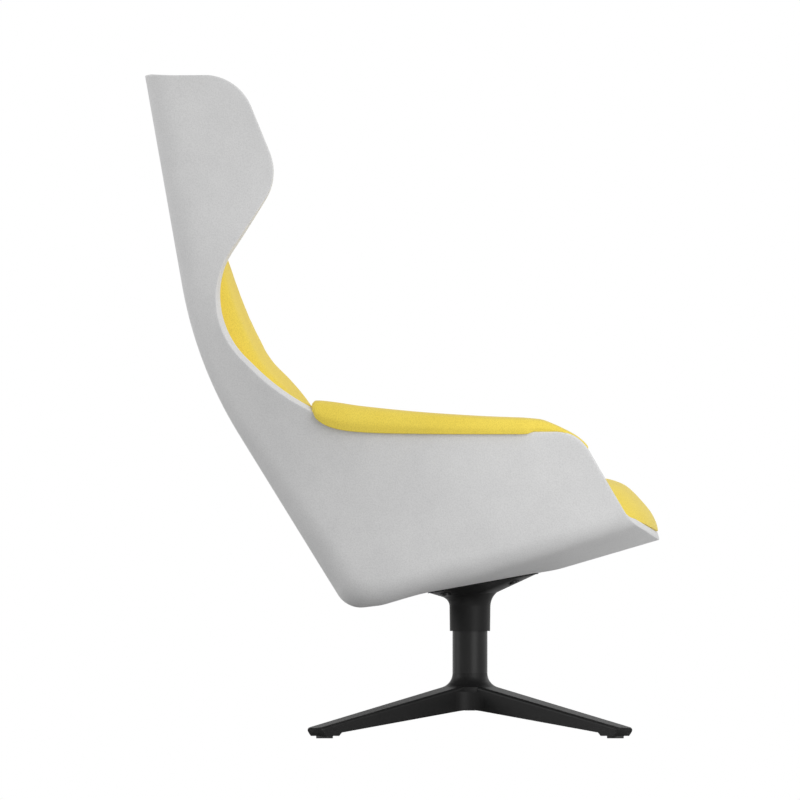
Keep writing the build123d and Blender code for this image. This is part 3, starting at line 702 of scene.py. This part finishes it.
# Shell: outer skin, inner skin and a rounded edge all round
def shell_grid():
    shares = np.linspace(-1, 1, 2 * HALF_COLUMNS + 1)
    places = np.repeat(ROWS[:, None], len(shares), axis=1)
    across = RIM_ACROSS[:, None] * shares
    lip_across = across[-1]
    low, high = np.full_like(lip_across, LIP_PLACE), np.full_like(lip_across, 1.0)
    for _ in range(40):
        middle = (low + high) / 2
        reached = past_lip(tub(middle, lip_across)) > 0
        low, high = np.where(reached, low, middle), np.where(reached, middle, high)
    low[0] = low[-1] = LIP_PLACE
    steps = np.linspace(0, 1, LIP_ROWS + 1)[1:, None]
    lip_places = LIP_PLACE + steps * (low - LIP_PLACE)
    places = np.concatenate([places, lip_places])
    across = np.concatenate([across, np.repeat(lip_across[None], LIP_ROWS, axis=0)])
    return places, across


SHELL_PLACES, SHELL_ACROSS = shell_grid()
LIP_PLACES, LIP_ACROSS = SHELL_PLACES[-1], SHELL_ACROSS[-1]


def shell_cover():
    places, across = SHELL_PLACES, SHELL_ACROSS
    rows, columns = places.shape
    outer = tub(places, across)
    normals = inward(places, across)
    inner = outer + SHELL_THICKNESS * normals
    side_rows = rows - LIP_ROWS
    loop = [(0, c) for c in range(columns)]
    loop += [(r, columns - 1) for r in range(1, side_rows)]
    loop += [(rows - 1, c) for c in range(columns - 2, 0, -1)]
    loop += [(r, 0) for r in range(side_rows - 1, 0, -1)]
    row, column = np.transpose(loop)
    rim, lift = outer[row, column], normals[row, column]
    way = unit(np.roll(rim, -1, axis=0) - np.roll(rim, 1, axis=0))
    out = unit(np.cross(lift, way))
    turn = np.linspace(0, pi, EDGE_STEPS + 1)
    reach = EDGE_ROUND * np.sin(turn) ** EDGE_REACH_CURVE
    fall = np.sign(np.cos(turn)) * np.abs(np.cos(turn)) ** EDGE_HEIGHT_CURVE
    height = SHELL_THICKNESS / 2 * (1 - fall)
    strip = rim[:, None] + reach[None, :, None] * out[:, None] + height[None, :, None] * lift[:, None]
    points = np.concatenate([outer.reshape(-1, 3), inner.reshape(-1, 3), strip.reshape(-1, 3)])
    faces = grid_faces(rows, columns) + grid_faces(rows, columns, rows * columns)
    start, count = 2 * rows * columns, EDGE_STEPS + 1
    for k in range(len(loop)):
        here, after = start + k * count, start + (k + 1) % len(loop) * count
        faces += [(here + m, after + m, after + m + 1, here + m + 1) for m in range(EDGE_STEPS)]
    piece = mesh_piece("shell_cover", points, faces, felt)
    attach(piece, "seat")
    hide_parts("outer_shell")


# Rim of one arm as a function of y, for the pad that sits over it
ARM_ROWS = (ROWS > ARM_FROM) & (ROWS < LIP_PLACE - ARM_LIP_GAP)
ARM_RIM = tub(ROWS[ARM_ROWS], RIM_ACROSS[ARM_ROWS])
ARM_RIM = ARM_RIM[np.argsort(ARM_RIM[:, 1])]


def arm_rim(y):
    return [np.interp(y, ARM_RIM[:, 1], ARM_RIM[:, axis]) for axis in (0, 2)]


def pad_values(y):
    return eased(PAD_KEYS, y)


# Linings inside the wings and arms
def lining_top(place, rim):
    depth_step = np.linspace(0.2, 1, 60) * rim
    points = tub(np.full_like(depth_step, place), depth_step)
    under_pad = PAD_KEYS[-1][0] < points[-1, 1] < PAD_KEYS[0][0]
    if not under_pad:
        return rim - LINING_SETBACK
    bottom = pad_values(points[:, 1])[1] - LINING_UNDER_PAD
    below = points[:, 2] < bottom
    return depth_step[below][-1] if below.any() else rim - LINING_SETBACK


def lining(name, node, first, last, end_round, side):
    places = np.concatenate([[first], ROWS[(ROWS > first + 0.001) & (ROWS < last - 0.001)], [last]])
    rims = np.interp(places, ROWS, RIM_ACROSS)
    top = np.array([lining_top(place, rim) for place, rim in zip(places, rims)])
    bottom = np.minimum(Section(places).bend_end + LINING_FOOT, top - LINING_LEAST_WIDTH)
    shares = (1 - np.cos(np.linspace(0, pi, LINING_COLUMNS))) / 2
    across = bottom[:, None] + (top - bottom)[:, None] * shares
    start_swell = rounding((places - first) * SPINE_LENGTH, LINING_SEAM_ROUND)
    end_swell = rounding((last - places) * SPINE_LENGTH, end_round)
    width = (top - bottom)[:, None]
    full = np.minimum(eased(LINING_KEYS, places)[0][:, None], LINING_STEEPEST * width)
    foot_swell = rounding(across - bottom[:, None], LINING_FOOT_ROUND)
    top_swell = rounding(top[:, None] - across, LINING_TOP_ROUND)
    swell = foot_swell * top_swell * (start_swell * end_swell)[:, None]
    crown = LINING_CROWN * np.sin(pi * shares) * np.clip((width - CROWN_FROM_WIDTH) / CROWN_FADE, 0, 1)
    grid_places = np.repeat(places[:, None], len(shares), axis=1)
    front = lifted(grid_places, across, SHELL_INSIDE + (full + crown) * swell)
    back = lifted(grid_places, across, np.full_like(across, SHELL_INSIDE))
    rows, columns = across.shape
    points = np.concatenate([front.reshape(-1, 3), back.reshape(-1, 3)])
    if side < 0:
        points = mirrored(points)
    faces = grid_faces(rows, columns) + grid_faces(rows, columns, rows * columns)
    piece = mesh_piece(name, points, faces, wool, merge=0.0001)
    finish_soft(piece, node)


# Back cushion: crowned front over the shell's inside
def back_front_depth(place, x_share, ledge, edge):
    crown = eased(BACK_KEYS, place)[0]
    inset = np.clip(ledge * (1 - np.abs(x_share)) / BACK_SHOULDER, 0, 1)
    rise = BACK_SHOULDER_RISE * (1 - (1 - inset) ** 4) + (1 - BACK_SHOULDER_RISE) * (1 - x_share ** 2)
    return edge + (crown - edge) * rise


def back_cushion():
    first, last = PADDING_TOP, BACK_END - BACK_END_GAP / SPINE_LENGTH
    ends = np.linspace(0, 1, BACK_END_ROWS) ** 2 * BACK_END_RUN / SPINE_LENGTH
    clear = ends[-1] + BACK_ROW_GAP
    inner_rows = ROWS[(ROWS > first + clear) & (ROWS < last - clear)]
    places = np.concatenate([first + ends, inner_rows, (last - ends)[::-1]])
    section = Section(places[:, None])
    edge = section.bend_depth + SHELL_INSIDE * BACK_EDGE_SHARE
    ledge = section.side_x(edge, SHELL_INSIDE + eased(LINING_KEYS, places)[0][:, None] + BACK_SIDE_GAP)
    shares = np.sin(np.linspace(-pi / 2, pi / 2, BACK_COLUMNS))[None]
    depth = back_front_depth(places[:, None], shares, ledge, edge)
    front = section.point(ledge * shares, depth)
    wall = section.bend_end + BACK_WRAP
    back_shares = np.linspace(1, -1, BACK_COLUMNS)[None]
    grid_places = np.repeat(places[:, None], BACK_COLUMNS, axis=1)
    back = lifted(grid_places, wall * back_shares, np.full(grid_places.shape, SHELL_INSIDE))
    run = np.minimum(places - first, last - places) * SPINE_LENGTH
    swell = rounding(run, BACK_END_ROUND)[:, None, None]
    front = back[:, ::-1] + (front - back[:, ::-1]) * swell
    rings = np.concatenate([front, back], axis=1)
    piece = rings_piece("back_cushion_cover", rings, wool)
    from_edge = np.minimum(ledge * (1 - np.abs(shares)), run[:, None])
    filled(piece, front, fading(from_edge - SEAM_INSET), lambda points: points)
    smoothed(piece)
    finish_soft(piece, "back_cushion")


# Seat cushion, drawn in the mount plane and laid into the shell
MOUNT_SLOPE = (MOUNT_FRONT[1] - MOUNT_REAR[1]) / (MOUNT_REAR[0] - MOUNT_FRONT[0])
MOUNT_TILT = atan2(MOUNT_SLOPE, 1)
MOUNT_HEIGHT = MOUNT_REAR[1] + MOUNT_SLOPE * MOUNT_REAR[0]


def from_mount(x, y, height):
    return np.stack([
        x,
        y * cos(MOUNT_TILT) + height * sin(MOUNT_TILT),
        MOUNT_HEIGHT - y * sin(MOUNT_TILT) + height * cos(MOUNT_TILT),
    ], axis=-1)


def cushion_rear(height):
    """Rear edge in the mount plane, just ahead of the back cushion's lower end."""
    rear = Section(np.array(BACK_END))
    tilt_sin, tilt_cos = sin(MOUNT_TILT), cos(MOUNT_TILT)
    lean_sin, lean_cos = np.sin(rear.lean), np.cos(rear.lean)
    ahead = (height * tilt_sin - rear.y) * lean_sin + (MOUNT_HEIGHT + height * tilt_cos - rear.z) * lean_cos
    return -(ahead + CUSHION_REAR_GAP) / (tilt_cos * lean_sin - tilt_sin * lean_cos)


def cushion_outline(height, side_inset, front_inset, rear_inset):
    half = CUSHION_HALF_WIDTH - side_inset
    front = CUSHION_FRONT + front_inset
    rear = cushion_rear(height) - rear_inset
    swing, power = np.linspace(0, pi / 2, 60), 2 / CUSHION_SQUARENESS
    nose_y = front + CUSHION_NOSE * (1 - np.cos(swing) ** power)
    nose = np.stack([half * np.sin(swing) ** power, nose_y], axis=1)
    rear_turn = rounded_path([nose[-1], (half, rear), (0, rear)], (CUSHION_REAR_CORNER,), 14)
    right = np.concatenate([nose, rear_turn[1:]])
    run = evenly(right, CUSHION_COLUMNS // 2 + 1)
    return np.concatenate([run, (run * (-1, 1))[::-1][1:-1]])


def clear_of_tub(points):
    """Keeps points behind the front lip, between the linings and above the shell's floor."""
    lip = lifted(LIP_PLACES, LIP_ACROSS, SHELL_THICKNESS)
    y = np.maximum(points[..., 1], np.interp(points[..., 0], lip[:, 0], lip[:, 1]) - LIP_OVERHANG)
    z = points[..., 2]
    low, high = np.full(y.shape, 0.3), np.full(y.shape, 1.0)
    for _ in range(30):
        middle = (low + high) / 2
        section = Section(middle)
        ahead = (y - section.y) * np.sin(section.lean) + (z - section.z) * np.cos(section.lean)
        low, high = np.where(ahead > 0, low, middle), np.where(ahead > 0, middle, high)
    section = Section(low)
    depth = (section.y - y) * np.cos(section.lean) + (z - section.z) * np.sin(section.lean)
    step = 0.002
    before, after = spine_at(low - step), spine_at(np.minimum(low + step, 1))
    way = unit(np.stack([after[0] - before[0], after[1] - before[1]], axis=-1))
    slant = np.abs(np.cos(section.lean) * way[..., 1] + np.sin(section.lean) * way[..., 0])
    floor = SHELL_INSIDE / slant
    radius = np.maximum(section.radius - SEAT_SIDE_INSET, CUSHION_LEAST_ROUND)
    bend_top = floor + section.rise + radius * (1 - np.cos(section.turn))
    limit = section.side_x(np.maximum(depth, bend_top), SEAT_SIDE_INSET)
    x = np.clip(points[..., 0], -limit, limit)
    flat = section.side_x(floor + section.rise, SEAT_SIDE_INSET) - radius * np.tan(section.turn / 2)
    over = np.clip((np.abs(x) - flat) / radius, 0, np.sin(section.turn))
    lift = np.maximum(floor + section.risen(np.abs(x)) + radius * (1 - np.sqrt(1 - over ** 2)) - depth, 0)
    return np.stack([x, y - lift * np.cos(section.lean), z + lift * np.sin(section.lean)], axis=-1)


def seat_rings():
    low_height, top_height = CUSHION_ROWS[0][0], CUSHION_ROWS[-1][0]
    wall = np.linspace(low_height, CUSHION_WALL_TOP, CUSHION_WALL_ROWS)
    shoulder = np.linspace(CUSHION_SHOULDER, top_height, CUSHION_SHOULDER_ROWS)
    heights = np.concatenate([wall, shoulder])
    rows = list(CUSHION_UNDERSIDE)
    for height, side, front in zip(heights, *eased(CUSHION_ROWS, heights)):
        rows.append((height, side, front, REAR_SHARE * side))
    rings = []
    for height, *insets in rows:
        outline = cushion_outline(height, *insets)
        rings.append(np.column_stack([outline, np.full(len(outline), height)]))
    centre = (0, (CUSHION_FRONT + cushion_rear(top_height)) / 2, 0)
    shares = np.linspace(0.05, 0.95, CUSHION_UNDER_RINGS)
    under = [(rings[0] - centre) * (share, share, 1) + centre for share in shares]
    over = []
    for share in np.linspace(0, 1, CUSHION_CROWN_RINGS + 2)[1:-1]:
        reach, rise = 1 - share, CUSHION_CROWN * (1 - (1 - share) ** 2)
        over.append((rings[-1] - centre) * (reach, reach, 1) + centre + (0, 0, rise))
    rings = np.array(under + rings + over)
    return from_mount(rings[..., 0], rings[..., 1], rings[..., 2])


def seat_cushion():
    rings = clear_of_tub(seat_rings())
    piece = rings_piece("seat_cushion_cover", rings, wool)
    height = rings[..., 1] * sin(MOUNT_TILT) + (rings[..., 2] - MOUNT_HEIGHT) * cos(MOUNT_TILT)
    reach = rings[..., 1] * cos(MOUNT_TILT) - (rings[..., 2] - MOUNT_HEIGHT) * sin(MOUNT_TILT)
    loose = fading(height - CUSHION_SEAM) * fading(reach - CUSHION_FRONT - NOSE_HELD)
    loose *= fading(cushion_rear(height) - reach - SEAM_INSET)
    filled(piece, rings, loose, clear_of_tub)
    smoothed(piece)
    finish_soft(piece, "seat_cushion")


# Arm pads over the rim of each arm
def pad_ring(y):
    top, bottom, overhang = pad_values(y)
    rim_x, rim_z = arm_rim(y)
    rim_z = rim_z + EDGE_ROUND
    outer, inner = rim_x + overhang, rim_x - PAD_REACH
    lip = np.clip(overhang / PAD_LIP, 0, 1)
    lip = lip * lip * (3 - 2 * lip)
    seat = rim_z + PAD_GAP
    outer_low = seat + lip * (bottom - seat)
    height = top - bottom
    shoulder = (outer - 0.09 * height, top - 0.30 * height)
    inner_shoulder = (inner + 0.10 * height, top - 0.16 * height)
    wall_out = np.minimum(rim_x + PAD_GAP, outer - 0.2)
    wall_in = rim_x - SHELL_THICKNESS - PAD_GAP - 2
    knots = [
        (outer, outer_low), (outer + 0.06 * height, (outer_low + shoulder[1]) / 2), shoulder,
        (outer - 0.30 * height, top - 0.10 * height), ((outer + inner) / 2, top),
        (inner + 0.3 * height, top - 0.03 * height), inner_shoulder,
        (inner - 0.04 * height, (bottom + inner_shoulder[1]) / 2), (inner, bottom),
    ]
    knots = np.array(knots, float)
    run = run_length(knots) / run_length(knots)[-1]
    keys = np.column_stack([run, knots])
    skin = np.stack(eased(keys.tolist(), np.linspace(0, 1, PAD_SKIN_POINTS)), axis=1)
    under = np.array([(wall_in, bottom), (wall_in, seat), (wall_out, seat), (wall_out, outer_low)], float)
    path = np.concatenate([[skin[-1]], under, [skin[0]]])
    steps = np.linspace(0, 1, 6, endpoint=False)[:, None]
    floor = np.concatenate([a + (b - a) * steps for a, b in zip(path[:-1], path[1:])])
    loop = np.concatenate([skin[:-1], floor])
    return np.column_stack([loop[:, 0], np.full(len(loop), y), loop[:, 1]])


def arm_pad(name, node, side):
    rear, front = PAD_KEYS[0][0], PAD_KEYS[-1][0]
    ends = (1 - np.cos(np.linspace(0, pi / 2, PAD_END_ROWS))) * PAD_END
    middle_ys = np.linspace(rear - PAD_END, front + PAD_END, PAD_ROWS + 2)[1:-1]
    ys = np.concatenate([rear - ends, middle_ys, (front + ends)[::-1]])
    rings = np.array([pad_ring(y) for y in ys])
    run = np.minimum(rear - ys, ys - front)
    swell = (PAD_END_SHARE + (1 - PAD_END_SHARE) * rounding(run, PAD_END))[:, None, None]
    middle = rings.mean(axis=1, keepdims=True)
    rings = middle + (rings - middle) * swell
    if side < 0:
        rings = mirrored(rings)
    piece = rings_piece(name, rings, wool)
    finish_soft(piece, node)


shell_cover()
back_cushion()
seat_cushion()
for word, side in (("left", 1), ("right", -1)):
    lining(f"wing_panel_{word}", f"wing_lining_{word}", PADDING_TOP, LINING_SEAM, LINING_SEAM_ROUND, side)
    lining(f"arm_panel_{word}", f"arm_lining_{word}", LINING_SEAM, LINING_END, LINING_FRONT_ROUND, side)
    arm_pad(f"arm_pad_cover_{word}", f"arm_pad_{word}", side)


# Floor, light and camera, in metres
VIEW_WIDTH = 1.3264
VIEW_CENTRE = (0, 0.003, 0.561)
CAMERA_DISTANCE = 6
FLOOR_HALF = 6
FLOOR_NEAR = 0.7
FLOOR_FAR = 1.9
FLOOR_BOUNCE = 0.38
SKY = 0.52


def floor():
    mesh = bpy.data.meshes.new("studio_floor")
    corners = [(FLOOR_HALF * x, FLOOR_HALF * y, 0) for x, y in ((-1, -1), (1, -1), (1, 1), (-1, 1))]
    mesh.from_pydata(corners, [], [(0, 1, 2, 3)])
    piece = bpy.data.objects.new("studio_floor", mesh)
    bpy.context.scene.collection.objects.link(piece)
    paper = Finish("studio_paper")
    grain = paper.ramp(paper.noise(60), ((0.3, (0.93, 0.93, 0.93)), (0.7, (0.96, 0.96, 0.96))))
    paper.set(Base_Color=grain, Roughness=0.9, Specular_IOR_Level=0.0)
    path = paper.node("ShaderNodeLightPath")
    seen = paper.math("MAXIMUM", path.outputs["Is Camera Ray"], path.outputs["Is Glossy Ray"])
    seen = paper.math("MAXIMUM", seen, path.outputs["Is Transmission Ray"])
    reach = paper.node("ShaderNodeVectorMath", operation="LENGTH")
    paper.link(paper.object_space, reach.inputs[0])
    fade = paper.node("ShaderNodeMapRange", interpolation_type="SMOOTHSTEP")
    fade.inputs["From Min"].default_value = FLOOR_NEAR
    fade.inputs["From Max"].default_value = FLOOR_FAR
    paper.link(reach.outputs["Value"], fade.inputs["Value"])
    hole = paper.node("ShaderNodeBsdfTransparent")
    dim = paper.node("ShaderNodeBsdfDiffuse")
    dim.inputs["Color"].default_value = (FLOOR_BOUNCE, FLOOR_BOUNCE, FLOOR_BOUNCE, 1)
    near, shown = paper.node("ShaderNodeMixShader"), paper.node("ShaderNodeMixShader")
    paper.link(fade.outputs["Result"], near.inputs[0])
    paper.link(paper.shader.outputs[0], near.inputs[1])
    paper.link(hole.outputs[0], near.inputs[2])
    paper.link(seen, shown.inputs[0])
    paper.link(dim.outputs[0], shown.inputs[1])
    paper.link(near.outputs[0], shown.inputs[2])
    paper.link(shown.outputs[0], paper.nodes["Material Output"].inputs["Surface"])
    mesh.materials.append(paper.material)


def studio_world():
    world = bpy.data.worlds.new("studio")
    bpy.context.scene.world = world
    world.use_nodes = True
    nodes, links = world.node_tree.nodes, world.node_tree.links
    background = nodes["Background"]
    path = nodes.new("ShaderNodeLightPath")
    seen = path.outputs["Is Camera Ray"]
    for name in ("Is Glossy Ray", "Is Transmission Ray"):
        joined = nodes.new("ShaderNodeMath")
        joined.operation = "MAXIMUM"
        links.new(seen, joined.inputs[0])
        links.new(path.outputs[name], joined.inputs[1])
        seen = joined.outputs[0]
    strength = nodes.new("ShaderNodeMapRange")
    strength.inputs["To Min"].default_value = SKY
    strength.inputs["To Max"].default_value = 1.0
    links.new(seen, strength.inputs["Value"])
    links.new(strength.outputs["Result"], background.inputs["Strength"])
    background.inputs["Color"].default_value = (1, 1, 1, 1)


def soft_light(name, place, aim, size, power, glossy=True):
    lamp = bpy.data.lights.new(name, "AREA")
    lamp.shape = "SQUARE"
    lamp.size = size
    lamp.energy = power
    light = bpy.data.objects.new(name, lamp)
    bpy.context.scene.collection.objects.link(light)
    light.location = place
    way = light.location - Vector(aim)
    light.rotation_euler = way.to_track_quat("Z", "Y").to_euler()
    light.visible_camera = False
    light.visible_glossy = glossy


def camera():
    lens = bpy.data.cameras.new("side_camera")
    lens.type = "ORTHO"
    lens.ortho_scale = VIEW_WIDTH
    lens.clip_end = 100
    eye = bpy.data.objects.new("side_camera", lens)
    bpy.context.scene.collection.objects.link(eye)
    eye.location = (-CAMERA_DISTANCE, VIEW_CENTRE[1], VIEW_CENTRE[2])
    eye.rotation_euler = (pi / 2, 0, -pi / 2)
    bpy.context.scene.camera = eye


floor()
studio_world()
soft_light("front_softbox", (-2.1, -1.35, 0.85), (0, -0.1, 0.45), 1.6, 28)
soft_light("far_softbox", (2.0, -2.2, 1.5), (0, 0, 0.6), 1.8, 10)
soft_light("top_softbox", (0, 0, 3.2), (0, 0, 0.6), 2.4, 8)
soft_light("rear_softbox", (-0.2, 3.0, 1.0), (0, 0.2, 0.7), 1.2, 21)
soft_light("floor_light", (0, -0.56, 0.012), (0, -0.56, 1), 0.28, 0.35, glossy=False)
camera()
bpy.context.scene.view_settings.view_transform = "Standard"
